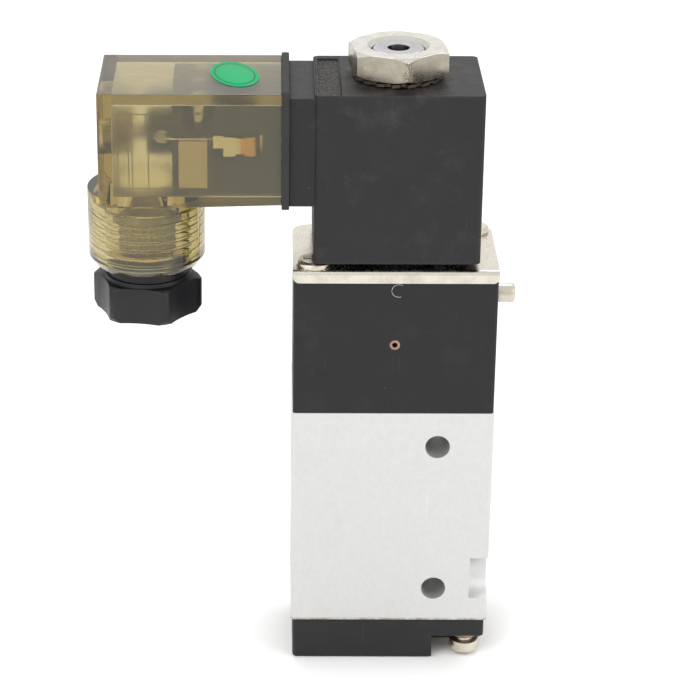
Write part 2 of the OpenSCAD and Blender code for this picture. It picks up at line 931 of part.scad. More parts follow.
// Plain oval sticker on top of the housing
module inspection_label() {
    color([0, 0.75, 0.45])
        translate([conn_x - 7.9, 0, conn_top])
            union() {
                span([-4.15, -2.9, 0], [4.15, 2.9, 0.12]);
                z_rod(4.15, 0, 0.12, 0, 2.9);
                z_rod(4.15, 0, 0.12, 0, -2.9);
            }
}

module gland_grommet() {
    low = grommet_z;
    high = collar_floor_z - 0.1;
    color([0.75, 0.73, 0.65])
        translate([gland_x, 0, 0])
            difference() {
                union() {
                    z_rod(5.6, high - 1.6, high);
                    z_rod(4.7, low, high);
                }
                z_rod(3, low - eps, high + eps);
            }
}

module gland_washer() {
    color([0.7, 0.7, 0.68])
        translate([gland_x, 0, 0])
            ring(6.3, cable_r, spigot_top, spigot_top + gland_washer_t);
}

// Six-lobed grip with a stepped neck above it, and a spigot that reaches into the collar
module gland_nut() {
    low = gland_top - gland_h;
    grip_top = gland_top - gland_neck_h;
    scallop_r = 16;
    scallop_at = gland_hex_r * cos(30) - 0.7 + scallop_r;
    color([0.1, 0.1, 0.12])
        translate([gland_x, 0, 0])
            difference() {
                union() {
                    difference() {
                        intersection() {
                            translate([0, 0, low])
                                rotate([0, 0, -8.4])
                                    cylinder(r = gland_hex_r, h = gland_h, $fn = 6);
                            rotate_extrude()
                                polygon([
                                    [0, low],
                                    [gland_corner_r - 0.7, low],
                                    [gland_corner_r, low + 1],
                                    [gland_corner_r, grip_top - 0.5],
                                    [gland_corner_r - 0.7, grip_top],
                                    [0, grip_top]
                                ]);
                        }
                        for (i = [0:5])
                            rotate([0, 0, 21.6 + 60 * i])
                                translate([scallop_at, 0, low - eps])
                                    cylinder(r = scallop_r, h = gland_h + 2 * eps);
                    }
                    z_rod(7.5, grip_top - 1, grip_top + 0.7);
                    z_rod(6.9, grip_top - 1, gland_top);
                    z_rod(6.5, grip_top, spigot_top - 0.02);
                }
                z_rod(cable_r, low - eps, spigot_top + eps);
                translate([0, 0, low - eps])
                    cylinder(r1 = cable_r + 0.8, r2 = cable_r, h = 0.8);
            }
}

valve_body();
end_cap();
end_cap_seal();
end_cap_screws();
end_cap_washers();
return_spring();
spring_seat();
spool();
spool_seals();
wear_rings();
piston();
piston_seal();
pilot_block();
pilot_gasket();
pilot_plug();
override_plunger();
override_seal();
override_spring();
override_pin();
cover_plate();
plate_screws();
core_tube();
tube_seal();
fixed_core();
armature();
armature_seal();
armature_spring();
coil_lower_washer();
coil_housing();
coil_yoke();
coil_bobbin();
coil_winding();
terminal_blades();
screw_bush();
coil_washer();
coil_nut();
connector_gasket();
connector_housing();
connector_insert();
contact_clips();
terminal_screws();
contact_strip();
lamp_resistor();
lamp_leads();
indicator_lamp();
connector_screw();
screw_seal();
inspection_label();
gland_grommet();
gland_washer();
gland_nut();
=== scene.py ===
import json
import math

import bmesh
import bpy
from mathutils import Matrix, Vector


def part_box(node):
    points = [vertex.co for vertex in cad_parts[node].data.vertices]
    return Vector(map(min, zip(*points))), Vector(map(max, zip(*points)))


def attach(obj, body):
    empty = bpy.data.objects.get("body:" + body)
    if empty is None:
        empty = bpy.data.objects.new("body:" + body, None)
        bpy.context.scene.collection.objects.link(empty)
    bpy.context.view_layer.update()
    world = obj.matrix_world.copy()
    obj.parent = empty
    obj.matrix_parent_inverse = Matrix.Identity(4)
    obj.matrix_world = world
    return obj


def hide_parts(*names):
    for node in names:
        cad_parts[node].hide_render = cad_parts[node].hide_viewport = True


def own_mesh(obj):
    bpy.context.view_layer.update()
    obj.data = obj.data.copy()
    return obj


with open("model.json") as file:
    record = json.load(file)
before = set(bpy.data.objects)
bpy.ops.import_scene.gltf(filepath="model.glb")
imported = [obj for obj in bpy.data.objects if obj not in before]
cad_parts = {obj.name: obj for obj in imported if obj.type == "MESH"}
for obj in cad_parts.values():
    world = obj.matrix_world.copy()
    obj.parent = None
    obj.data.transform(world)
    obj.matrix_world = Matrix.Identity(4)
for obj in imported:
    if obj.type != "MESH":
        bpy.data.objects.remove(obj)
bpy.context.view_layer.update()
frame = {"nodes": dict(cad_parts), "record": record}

MM = 0.001
WALL = 2.3  # the connector housing's wall, in millimetres
CAD = frame["nodes"]
SLOT_OF = {row["node"]: row["material_slot"] for row in frame["record"]["subparts"]}


# ---------------------------------------------------------------- materials

class Look:
    """A procedural material: one Principled shader and the helpers that feed its sockets."""

    def __init__(self, name, **shader_values):
        self.material = bpy.data.materials.new(name)
        self.material.use_nodes = True
        self.tree = self.material.node_tree
        self.shader = self.tree.nodes["Principled BSDF"]
        self.output = self.tree.nodes["Material Output"]
        self.place = self.node("ShaderNodeTexCoord").outputs["Object"]
        for socket, value in shader_values.items():
            self.set(socket.replace("_", " "), value)

    def node(self, kind, **settings):
        made = self.tree.nodes.new(kind)
        for key, value in settings.items():
            setattr(made, key, value)
        return made

    def feed(self, socket, value):
        if isinstance(value, bpy.types.NodeSocket):
            self.tree.links.new(value, socket)
        elif isinstance(value, (tuple, list)) and len(value) == 3 and socket.type == "RGBA":
            socket.default_value = (*value, 1)
        else:
            socket.default_value = value

    def set(self, socket, value):
        self.feed(self.shader.inputs[socket], value)

    def stretched(self, stretch):
        """The object's own coordinates, scaled along each axis."""
        mapping = self.node("ShaderNodeMapping")
        self.feed(mapping.inputs["Vector"], self.place)
        mapping.inputs["Scale"].default_value = stretch
        return mapping.outputs["Vector"]

    def noise(self, scale, detail=3.0, roughness=0.55, stretch=None, seed=0.0):
        made = self.node("ShaderNodeTexNoise", noise_dimensions="4D")
        self.feed(made.inputs["Vector"], self.stretched(stretch) if stretch else self.place)
        made.inputs["W"].default_value = seed
        made.inputs["Scale"].default_value = scale
        made.inputs["Detail"].default_value = detail
        made.inputs["Roughness"].default_value = roughness
        return made.outputs["Fac"]

    def cells(self, scale, seed=0.0):
        made = self.node("ShaderNodeTexVoronoi", voronoi_dimensions="4D")
        self.feed(made.inputs["Vector"], self.place)
        made.inputs["W"].default_value = seed
        made.inputs["Scale"].default_value = scale
        return made.outputs["Distance"]

    def band(self, value, low, high, to_low=0.0, to_high=1.0):
        made = self.node("ShaderNodeMapRange", clamp=True)
        self.feed(made.inputs["Value"], value)
        made.inputs["From Min"].default_value = low
        made.inputs["From Max"].default_value = high
        made.inputs["To Min"].default_value = to_low
        made.inputs["To Max"].default_value = to_high
        return made.outputs["Result"]

    def calc(self, operation, a, b=0.0):
        made = self.node("ShaderNodeMath", operation=operation)
        self.feed(made.inputs[0], a)
        self.feed(made.inputs[1], b)
        return made.outputs["Value"]

    def mix(self, factor, a, b):
        made = self.node("ShaderNodeMix", data_type="RGBA")
        self.feed(made.inputs[0], factor)
        self.feed(made.inputs[6], a)
        self.feed(made.inputs[7], b)
        return made.outputs[2]

    def axis(self, name):
        made = self.node("ShaderNodeSeparateXYZ")
        self.feed(made.inputs["Vector"], self.place)
        return made.outputs[name]

    def from_axis(self):
        """Distance from the valve's own axis."""
        x, y = self.axis("X"), self.axis("Y")
        return self.calc("SQRT", self.calc("ADD", self.calc("MULTIPLY", x, x), self.calc("MULTIPLY", y, y)))

    def bump(self, height, distance, strength=1.0, under=None):
        made = self.node("ShaderNodeBump")
        made.inputs["Strength"].default_value = strength
        made.inputs["Distance"].default_value = distance
        self.feed(made.inputs["Height"], height)
        if under:
            self.feed(made.inputs["Normal"], under)
        return made.outputs["Normal"]

    def edges(self, radius, low=0.02, high=0.25):
        """1 near a convex or concave edge, 0 on the flat."""
        rounded = self.node("ShaderNodeBevel", samples=4)
        rounded.inputs["Radius"].default_value = radius
        flat = self.node("ShaderNodeNewGeometry")
        dot = self.node("ShaderNodeVectorMath", operation="DOT_PRODUCT")
        self.feed(dot.inputs[0], rounded.outputs["Normal"])
        self.feed(dot.inputs[1], flat.outputs["Normal"])
        return self.band(self.calc("SUBTRACT", 1.0, dot.outputs["Value"]), low, high)

    def scratches(self, across, along, rare, seed):
        """Thin lines, long along one axis; rare sets how few there are."""
        lines = self.noise(1.0, 1.5, 0.5, (across, across, along), seed)
        return self.band(lines, rare, rare + 0.02)

    def specks(self, scale, size, seed):
        """Round specks: size is the share of a cell that one covers."""
        spot = self.band(self.cells(scale, seed), size * 0.55, size, 1.0, 0.0)
        chosen = self.band(self.noise(scale * 0.33, 1.0, 0.5, None, seed + 3), 0.6, 0.64)
        return self.calc("MULTIPLY", spot, chosen)


def cast_aluminium_body():
    look = Look("cast_aluminium_body", Metallic=0.88)
    grain = look.noise(5200, 4.0, 0.65)
    blasted = look.noise(1.0, 4.0, 0.65, (1500, 1500, 1150), 2.0)
    tone = look.calc("ADD", look.calc("MULTIPLY", grain, 0.55), look.calc("MULTIPLY", blasted, 0.45))
    base = look.mix(look.band(tone, 0.3, 0.7), (0.60, 0.60, 0.59), (0.695, 0.695, 0.68))
    stain = look.band(look.noise(160, 4.0, 0.6, None, 5.0), 0.6, 0.78, 0.0, 0.22)
    base = look.mix(stain, base, (0.52, 0.50, 0.46))
    line = look.scratches(2600, 140, 0.715, 9.0)
    base = look.mix(look.calc("MULTIPLY", line, 0.3), base, (0.78, 0.78, 0.77))
    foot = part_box("valve_body")[0].z
    seam = look.band(look.axis("Z"), foot + 0.3 * MM, foot + 0.6 * MM, 0.85, 0.0)
    dirt = look.calc("MULTIPLY", seam, look.band(look.noise(500, 4.0, 0.7, None, 12.0), 0.35, 0.6))
    look.set("Base Color", look.mix(dirt, base, (0.34, 0.25, 0.15)))
    look.set("Roughness", look.band(grain, 0.3, 0.7, 0.42, 0.54))
    fine = look.bump(grain, 0.02 * MM, 0.6)
    look.set("Normal", look.bump(blasted, 0.012 * MM, 0.3, fine))
    return look


def moulded(name, dark, worn, dust, roughness, grain_scale, speck_scale, edge_radius, dust_share=1.0):
    """Moulded plastic: fine grain, paler edges that are partly wear and partly a painted edge sheen, dust
    in specks and a few hairline scratches.
    """
    look = Look(name, Specular_IOR_Level=0.4)
    grain = look.noise(grain_scale, 4.0, 0.62)
    cloud = look.noise(220, 4.0, 0.6, None, 4.0)
    base = look.mix(look.band(cloud, 0.35, 0.7), dark, tuple(1.25 * c for c in dark))
    # paler edges: partly wear, partly a painted sheen on the rounded edges
    wear_and_sheen = look.calc("MULTIPLY", look.edges(edge_radius), look.band(cloud, 0.3, 0.6, 0.25, 1.0))
    base = look.mix(look.calc("MULTIPLY", wear_and_sheen, 0.55), base, worn)
    line = look.scratches(3000, 110, 0.73, 7.0)
    base = look.mix(look.calc("MULTIPLY", line, 0.4), base, worn)
    spots = look.calc("MULTIPLY", look.specks(speck_scale, 0.13, 1.0), 0.8 * dust_share)
    film = look.band(look.noise(90, 5.0, 0.7, None, 8.0), 0.55, 0.8, 0.0, 0.12 * dust_share)
    base = look.mix(film, look.mix(spots, base, dust), dust)
    look.set("Base Color", base)
    look.set("Roughness", look.band(grain, 0.3, 0.7, roughness - 0.06, roughness + 0.08))
    look.set("Normal", look.bump(grain, 0.02 * MM, 0.4))
    return look


def black_plastic():
    return moulded("black_plastic", (0.0050, 0.0050, 0.0054), (0.04, 0.04, 0.04), (0.20, 0.19, 0.17),
                   0.5, 3800, 1100, 0.35 * MM, 0.6)


def cap_plastic():
    """The end cap's black plastic, with a brown painted shade in the screw recesses."""
    look = moulded("cap_plastic", (0.0075, 0.0075, 0.0082), (0.04, 0.04, 0.04), (0.20, 0.19, 0.17),
                   0.5, 3800, 1100, 0.35 * MM, 0.6)
    base = look.shader.inputs["Base Color"].links[0].from_socket
    # inside: the screw recesses, painted brown as painted shade
    across = look.calc("ABSOLUTE", look.axis("X"))
    deep = look.band(look.calc("ABSOLUTE", look.axis("Y")), 9.6 * MM, 10.3 * MM, 1.0, 0.0)
    inside = look.calc("MULTIPLY", look.band(across, 7.6 * MM, 8.0 * MM), deep)
    inside = look.calc("MULTIPLY", inside, look.band(across, 17.2 * MM, 17.4 * MM, 1.0, 0.0))
    inside = look.calc("MULTIPLY", inside, look.band(look.axis("Z"), 4.4 * MM, 4.7 * MM, 1.0, 0.0))
    patchy = look.band(look.noise(600, 5.0, 0.7, None, 15.0), 0.35, 0.6, 0.2, 0.85)
    look.set("Base Color", look.mix(look.calc("MULTIPLY", inside, patchy), base, (0.15, 0.11, 0.075)))
    return look


def coil_plastic():
    look = moulded("coil_plastic", (0.0095, 0.0090, 0.0104), (0.055, 0.053, 0.052), (0.28, 0.25, 0.21),
                   0.6, 2600, 1500, 0.6 * MM)
    base = look.shader.inputs["Base Color"].links[0].from_socket
    up = look.node("ShaderNodeNewGeometry").outputs["Normal"]
    split = look.node("ShaderNodeSeparateXYZ")
    look.feed(split.inputs["Vector"], up)
    top = look.band(split.outputs["Z"], 0.75, 0.95)
    drift = look.band(look.noise(520, 5.0, 0.7, None, 6.0), 0.45, 0.75, 0.0, 0.4)
    near = look.band(look.from_axis(), 9 * MM, 14 * MM, 1.0, 0.35)
    dusty = look.calc("MULTIPLY", look.calc("MULTIPLY", top, drift), near)
    base = look.mix(dusty, base, (0.13, 0.11, 0.085))
    mark = look.calc("MULTIPLY", look.band(look.axis("X"), -9.9 * MM, -9.6 * MM, 1.0, 0.0), top)
    mark = look.calc("MULTIPLY", mark, look.band(look.axis("X"), -13.9 * MM, -13.7 * MM))
    # lighter specks in the embossed mark: painted glints on its relief
    mark_glint = look.band(look.noise(2100, 2.0, 0.8, None, 14.0), 0.52, 0.6)
    look.set("Base Color", look.mix(look.calc("MULTIPLY", mark, look.calc("MULTIPLY", mark_glint, 0.75)),
                                    base, (0.12, 0.11, 0.09)))
    skin = look.shader.inputs["Normal"].links[0].from_socket
    pits = look.calc("MULTIPLY", look.noise(1100, 3.0, 0.7, None, 13.0), mark)
    look.set("Normal", look.bump(pits, 0.9 * MM, 1.0, skin))
    return look


def insert_plastic():
    return moulded("insert_plastic", (0.062, 0.062, 0.050), (0.12, 0.12, 0.10), (0.3, 0.28, 0.2),
                   0.45, 3000, 900, 0.2 * MM, 0.3)


def gland_plastic():
    return moulded("gland_plastic", (0.0055, 0.0058, 0.0070), (0.05, 0.052, 0.056), (0.25, 0.24, 0.22),
                   0.42, 3200, 1300, 0.5 * MM, 0.6)


def seal_rubber():
    return moulded("seal_rubber", (0.010, 0.010, 0.011), (0.03, 0.03, 0.03), (0.1, 0.1, 0.09),
                   0.68, 2400, 1300, 0.1 * MM, 0.3)


def gasket_rubber():
    return moulded("gasket_rubber", (0.022, 0.022, 0.023), (0.06, 0.06, 0.06), (0.3, 0.28, 0.24),
                   0.75, 2200, 900, 0.2 * MM)


def ivory_plastic():
    return moulded("ivory_plastic", (0.68, 0.63, 0.50), (0.78, 0.74, 0.62), (0.5, 0.45, 0.35),
                   0.42, 2600, 800, 0.2 * MM, 0.3)


def clear_plastic(name, roughness, absorbed, density, tint=(1.0, 1.0, 1.0)):
    """Clear moulded plastic, coloured by its surface and by what the thickness of the wall absorbs."""
    look = Look(name, IOR=1.5, Transmission_Weight=1.0)
    look.set("Base Color", tint)
    flow = look.noise(260, 3.0, 0.5, (1.0, 1.0, 0.35), 1.0)
    haze = look.band(look.noise(900, 4.0, 0.7, None, 2.0), 0.5, 0.8, roughness, roughness + 0.09)
    line = look.scratches(2400, 120, 0.72, 3.0)
    look.set("Roughness", look.calc("ADD", haze, look.calc("MULTIPLY", line, 0.2)))
    look.set("Normal", look.bump(flow, 0.12 * MM, 0.5))
    volume = look.node("ShaderNodeVolumeAbsorption")
    volume.inputs["Color"].default_value = (*absorbed, 1)
    volume.inputs["Density"].default_value = density
    look.feed(look.output.inputs["Volume"], volume.outputs["Volume"])
    return look


def amber_plastic():
    """Polished outside and left rough inside the cavity, as the mould leaves it."""
    look = clear_plastic("amber_plastic", 0.03, (0.62, 0.52, 0.10), 150.0, (0.82, 0.77, 0.58))
    look.set("Transmission Weight", 0.97)
    low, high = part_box("connector_housing")
    wall = WALL * MM
    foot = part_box("connector_insert")[0].z
    inside = look.band(look.axis("X"), low.x + wall - 0.3 * MM, low.x + wall - 0.1 * MM)
    for axis, near, far in [("Y", low.y + wall, high.y - wall), ("Z", foot - 0.2 * MM, high.z - wall)]:
        inside = look.calc("MULTIPLY", inside, look.band(look.axis(axis), near - 0.3 * MM, near - 0.1 * MM))
        inside = look.calc("MULTIPLY", inside,
                           look.band(look.axis(axis), far + 0.1 * MM, far + 0.3 * MM, 1.0, 0.0))
    polished = look.shader.inputs["Roughness"].links[0].from_socket
    look.set("Roughness", look.calc("MAXIMUM", polished, look.calc("MULTIPLY", inside, 0.38)))
    return look


def etched_line():
    """The fine ribs inside the housing's front wall, painted darker than the wall as painted shade so that
    they read as lines.
    """
    look = Look("etched_line", Roughness=0.5, IOR=1.5, Transmission_Weight=0.2)
    tone = look.noise(1500, 3.0, 0.6)
    look.set("Base Color", look.mix(tone, (0.20, 0.17, 0.10), (0.46, 0.41, 0.27)))
    return look


def lamp_plastic():
    look = clear_plastic("lamp_plastic", 0.12, (0.95, 0.93, 0.8), 120.0)
    look.set("Transmission Weight", 0.55)
    # near-white base: partly the lamp's own pale plastic, partly a painted highlight
    look.set("Base Color", (0.95, 0.92, 0.80))
    return look


def clear_rubber():
    look = clear_plastic("clear_rubber", 0.35, (0.9, 0.86, 0.7), 120.0)
    look.set("Transmission Weight", 0.35)
    look.set("Base Color", (0.72, 0.69, 0.56))
    return look


def resistor_body():
    look = Look("resistor_body", Coat_Weight=0.3, Coat_Roughness=0.15)
    glaze = look.noise(1800, 4.0, 0.6)
    look.set("Base Color", look.mix(look.band(glaze, 0.35, 0.7), (0.74, 0.62, 0.40), (0.86, 0.76, 0.54)))
    look.set("Roughness", look.band(glaze, 0.3, 0.7, 0.32, 0.45))
    look.set("Normal", look.bump(glaze, 0.03 * MM, 0.4))
    return look


def metal(name, light, dull, roughness, grain=(2000, 2000, 2000), depth=0.01, smudge=0.35, lines=0.0):
    """Plated or turned metal: directional grain, dull patches and hairline scratches."""
    look = Look(name, Metallic=1.0)
    brush = look.noise(1.0, 3.0, 0.6, grain)
    patch = look.noise(330, 5.0, 0.65, None, 3.0)
    base = look.mix(look.band(patch, 0.42, 0.72, 0.0, smudge), light, dull)
    line = look.scratches(3400, 160, 0.70, 5.0)
    look.set("Base Color", look.mix(look.calc("MULTIPLY", line, 0.4), base, tuple(0.6 * c for c in dull)))
    rough = look.band(patch, 0.35, 0.75, roughness * 0.75, roughness * 1.6)
    look.set("Roughness", look.calc("ADD", rough, look.band(brush, 0.3, 0.7, -0.04, 0.06)))
    fine = look.bump(brush, depth * MM, 0.5)
    look.set("Normal", look.bump(look.noise(500, 2.0, 0.5, None, 8.0), 0.02 * MM, 0.3 + lines, fine))
    return look


def plated_screw():
    return metal("plated_screw", (0.70, 0.65, 0.55), (0.40, 0.34, 0.26), 0.26, smudge=0.6)


def brown_washer():
    return metal("brown_washer", (0.36, 0.28, 0.20), (0.16, 0.12, 0.09), 0.45, smudge=0.8)


def lock_washer_steel():
    return metal("lock_washer_steel", (0.22, 0.185, 0.145), (0.11, 0.09, 0.07), 0.42, smudge=0.7)


def nut_nickel():
    """The coil nut: a brighter top, flats painted darker as painted shade, and wrench marks on its front
    corner.
    """
    look = metal("nut_nickel", (0.66, 0.64, 0.59), (0.46, 0.42, 0.35), 0.26, (900, 900, 2600), smudge=0.5)
    base = look.shader.inputs["Base Color"].links[0].from_socket
    split = look.node("ShaderNodeSeparateXYZ")
    look.feed(split.inputs["Vector"], look.node("ShaderNodeNewGeometry").outputs["Normal"])
    # flats: painted shade on the nut's sides, darker than its top
    flat = look.band(look.calc("ABSOLUTE", split.outputs["Z"]), 0.25, 0.6, 1.0, 0.0)
    side = look.mix(look.noise(900, 4.0, 0.65, None, 21.0), (0.27, 0.235, 0.185), (0.47, 0.43, 0.355))
    look.set("Base Color", look.mix(flat, base, side))
    x = look.calc("SUBTRACT", look.axis("X"), 1.25 * MM)
    close = look.band(look.calc("ABSOLUTE", x), 0.5 * MM, 1.0 * MM, 1.0, 0.0)
    front = look.band(look.axis("Y"), -8.2 * MM, -8.0 * MM, 1.0, 0.0)
    wander = look.calc("MULTIPLY", look.noise(1600, 3.0, 0.6, None, 31.0), 0.9 * MM)
    lines = look.calc("ADD", look.axis("X"), wander)
    teeth = look.calc("SINE", look.calc("MULTIPLY", lines, 2 * math.pi / (0.34 * MM)))
    worn = look.band(look.noise(1100, 3.0, 0.6, None, 37.0), 0.4, 0.6)
    marks = look.calc("MULTIPLY", look.calc("MULTIPLY", teeth, worn), look.calc("MULTIPLY", close, front))
    skin = look.shader.inputs["Normal"].links[0].from_socket
    look.set("Normal", look.bump(marks, 0.06 * MM, 0.9, skin))
    return look


def nickel_plate():
    return metal("nickel_plate", (0.67, 0.635, 0.555), (0.42, 0.38, 0.31), 0.24,
                 (2600, 700, 2600), smudge=0.6)


def core_steel():
    look = metal("core_steel", (0.47, 0.46, 0.49), (0.30, 0.29, 0.30), 0.3, (900, 900, 5200), 0.02)
    base = look.shader.inputs["Base Color"].links[0].from_socket
    rings = look.calc("SINE", look.calc("MULTIPLY", look.from_axis(), 2 * math.pi / (0.34 * MM)))
    base = look.mix(look.band(rings, -1.0, 1.0, 0.0, 0.35), base, (0.24, 0.23, 0.25))
    # bore: painted near black, painted shade in the hole
    bore = look.band(look.from_axis(), 1.86 * MM, 1.95 * MM, 0.85, 0.0)
    look.set("Base Color", look.mix(bore, base, (0.03, 0.03, 0.03)))
    skin = look.shader.inputs["Normal"].links[0].from_socket
    look.set("Normal", look.bump(rings, 0.012 * MM, 0.5, skin))
    return look


def spring_steel():
    return metal("spring_steel", (0.58, 0.58, 0.60), (0.34, 0.33, 0.33), 0.3)


def spool_aluminium():
    return metal("spool_aluminium", (0.80, 0.81, 0.84), (0.62, 0.63, 0.66), 0.24, (700, 700, 6500), 0.012)


def brass_part():
    return metal("brass_part", (0.80, 0.60, 0.28), (0.50, 0.36, 0.17), 0.28, (800, 800, 4200), 0.012)


def tinned_brass():
    return metal("tinned_brass", (0.86, 0.74, 0.48), (0.66, 0.52, 0.30), 0.24, (2400, 2400, 900))


def strip_metal():
    """The contact strip: pale tin plate on its flat part, bare copper colour on its rounded end."""
    look = metal("strip_metal", (0.88, 0.82, 0.66), (0.70, 0.60, 0.42), 0.3, (2400, 2400, 900))
    base = look.shader.inputs["Base Color"].links[0].from_socket
    low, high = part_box("contact_strip")
    curl = look.band(look.axis("X"), high.x - 3.6 * MM, high.x - 3.1 * MM)
    tone = look.mix(look.noise(700, 3.0, 0.6, None, 4.0), (0.66, 0.34, 0.09), (0.88, 0.58, 0.22))
    look.set("Base Color", look.mix(curl, base, tone))
    look.set("Metallic", 0.85)
    return look


def copper_winding():
    look = metal("copper_winding", (0.78, 0.34, 0.16), (0.50, 0.20, 0.09), 0.26)
    turns = look.node("ShaderNodeTexWave", bands_direction="Z")
    look.feed(turns.inputs["Vector"], look.place)
    turns.inputs["Scale"].default_value = 1250
    turns.inputs["Distortion"].default_value = 0.3
    look.set("Normal", look.bump(turns.outputs["Fac"], 0.05 * MM, 0.8))
    return look


LABEL_TURN = math.radians(13)
LABEL_HALF = (3.95 * MM, 6.9 * MM)


def green_label():
    """Glossy green paper with one thin border ring and nothing printed in it."""
    look = Look("green_label", Specular_IOR_Level=0.15)
    low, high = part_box("inspection_label")
    centre = (low + high) / 2
    x = look.calc("SUBTRACT", look.axis("X"), centre.x)
    y = look.calc("SUBTRACT", look.axis("Y"), centre.y)
    turned = []
    for a, b, half in [(math.cos(LABEL_TURN), math.sin(LABEL_TURN), LABEL_HALF[0]),
                       (-math.sin(LABEL_TURN), math.cos(LABEL_TURN), LABEL_HALF[1])]:
        along = look.calc("ADD", look.calc("MULTIPLY", x, a / half), look.calc("MULTIPLY", y, b / half))
        turned.append(look.calc("MULTIPLY", along, along))
    out = look.calc("SQRT", look.calc("ADD", *turned))
    ring = look.calc("MULTIPLY", look.band(out, 0.77, 0.80), look.band(out, 0.84, 0.87, 1.0, 0.0))
    fibre = look.noise(3000, 4.0, 0.7)
    green = look.mix(look.band(fibre, 0.3, 0.7), (0.0, 0.33, 0.105), (0.004, 0.40, 0.14))
    look.set("Base Color", look.mix(look.calc("MULTIPLY", ring, 0.8), green, (0.005, 0.09, 0.04)))
    look.set("Roughness", look.band(fibre, 0.3, 0.7, 0.4, 0.55))
    look.set("Normal", look.bump(fibre, 0.008 * MM, 0.4))
    return look


def plug_copper():
    """The bush in the pilot's front: coppery and tarnished."""
    return metal("plug_copper", (0.38, 0.25, 0.19), (0.20, 0.13, 0.10), 0.42, smudge=0.9)


def lint():
    look = Look("lint", Roughness=0.8)
    tone = look.noise(2500, 3.0, 0.6)
    look.set("Base Color", look.mix(tone, (0.36, 0.33, 0.29), (0.55, 0.52, 0.46)))
    return look


MAKERS = [
    cast_aluminium_body, black_plastic, coil_plastic, insert_plastic, gland_plastic, amber_plastic,
    ivory_plastic, lamp_plastic, resistor_body, seal_rubber, gasket_rubber, clear_rubber, plated_screw,
    nickel_plate, core_steel, spring_steel, spool_aluminium, brass_part, tinned_brass, copper_winding,
    green_label, plug_copper, lint, cap_plastic, etched_line, brown_washer, nut_nickel, strip_metal,
    lock_washer_steel,
]
MATERIAL = {make.__name__: make().material for make in MAKERS}


def paint(piece, material):
    piece.data.materials.clear()
    piece.data.materials.append(MATERIAL[material])


for name, slot in SLOT_OF.items():
    paint(CAD[name], slot)
for name, material in [
    ("pilot_plug", "plug_copper"), ("end_cap", "cap_plastic"), ("end_cap_washers", "brown_washer"),
    ("coil_nut", "nut_nickel"), ("contact_strip", "strip_metal"),
]:
    paint(CAD[name], material)


# ---------------------------------------------------------------- edges of the CAD parts

MERGE = 0.002 * MM
FLAT = math.radians(0.4)


def soften(name, width, segments=2, angle=32, where=None):
    """Rounds a CAD node's edges. where(point in mm) picks the corners that a wider rounding is for.

    The overlap clamp would shrink every width to that of the shortest edge. Without it, a width that
    is too large folds faces, so each width below is one that leaves the node's faces whole."""
    piece = CAD[name]
    if "clean" not in piece.modifiers:
        weld = piece.modifiers.new("clean", "WELD")
        weld.merge_threshold = MERGE
        flat = piece.modifiers.new("flat", "DECIMATE")
        flat.decimate_type = "DISSOLVE"
        flat.angle_limit = FLAT
    bevel = piece.modifiers.new("round", "BEVEL")
    bevel.width = width * MM
    bevel.segments = segments
    bevel.limit_method = "ANGLE"
    bevel.angle_limit = math.radians(angle)
    bevel.use_clamp_overlap = False
    bevel.loop_slide = False
    if where:
        group = piece.vertex_groups.new(name="outer")
        chosen = [v.index for v in piece.data.vertices if where(v.co / MM)]
        group.add(chosen, 1.0, "REPLACE")
        bevel.limit_method = "VGROUP"
        bevel.vertex_group = group.name


soften("end_cap", 0.6, 5, where=lambda p: p.z < 0.05 and (abs(p.x) > 16 or abs(p.y) > 9.7))
soften("cover_plate", 0.7, 4, where=lambda p: p.z > 75.4 and p.y < -11)
for name, width, angle in [
    ("valve_body", 0.2, 32), ("end_cap", 0.14, 32), ("coil_housing", 0.1, 32), ("coil_nut", 0.2, 70),
    ("connector_housing", 0.1, 32), ("gland_nut", 0.15, 60), ("plate_screws", 0.12, 32),
    ("fixed_core", 0.12, 32), ("override_plunger", 0.12, 32), ("end_cap_screws", 0.12, 32),
    ("connector_gasket", 0.2, 32), ("connector_screw", 0.12, 32), ("lamp_resistor", 0.2, 32),
    ("terminal_screws", 0.06, 32), ("pilot_plug", 0.06, 32), ("end_cap_washers", 0.08, 32),
    ("coil_lower_washer", 0.12, 32),
]:
    soften(name, width, angle=angle)


# ---------------------------------------------------------------- new pieces

def add_piece(name, rings, body, slot, material=None, closed=True, caps=False, smooth=True):
    """A skin over rings of points in millimetres: closed joins the last ring to the first."""
    mesh = bmesh.new()
    rows = [[mesh.verts.new(Vector(p) * MM) for p in ring] for ring in rings]
    pairs = list(zip(rows, rows[1:])) + ([(rows[-1], rows[0])] if closed else [])
    for low, high in pairs:
        count = len(low)
        for i in range(count):
            mesh.faces.new((low[i], low[(i + 1) % count], high[(i + 1) % count], high[i]))
    if caps:
        mesh.faces.new(rows[0])
        mesh.faces.new(rows[-1])
    bmesh.ops.recalc_face_normals(mesh, faces=mesh.faces)
    data = bpy.data.meshes.new(name)
    mesh.to_mesh(data)
    mesh.free()
    data.polygons.foreach_set("use_smooth", [smooth] * len(data.polygons))
    piece = bpy.data.objects.new(name, data)
    bpy.context.scene.collection.objects.link(piece)
    paint(piece, material or slot)
    if body:
        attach(piece, body)
    return piece


def tube_rings(path, radius, sides=10):
    """Circles of points round a path."""
    rings = []
    for i, point in enumerate(path):
        ahead = Vector(path[min(i + 1, len(path) - 1)])
        behind = Vector(path[max(i - 1, 0)])
        along = (ahead - behind).normalized()
        side = along.cross(Vector((0, 0, 1)))
        side = side.normalized() if side.length > 1e-6 else Vector((1, 0, 0))
        up = side.cross(along).normalized()
        ring = []
        for k in range(sides):
            turn = 2 * math.pi * k / sides
            ring.append(Vector(point) + radius * (math.cos(turn) * side + math.sin(turn) * up))
        rings.append(ring)
    return rings


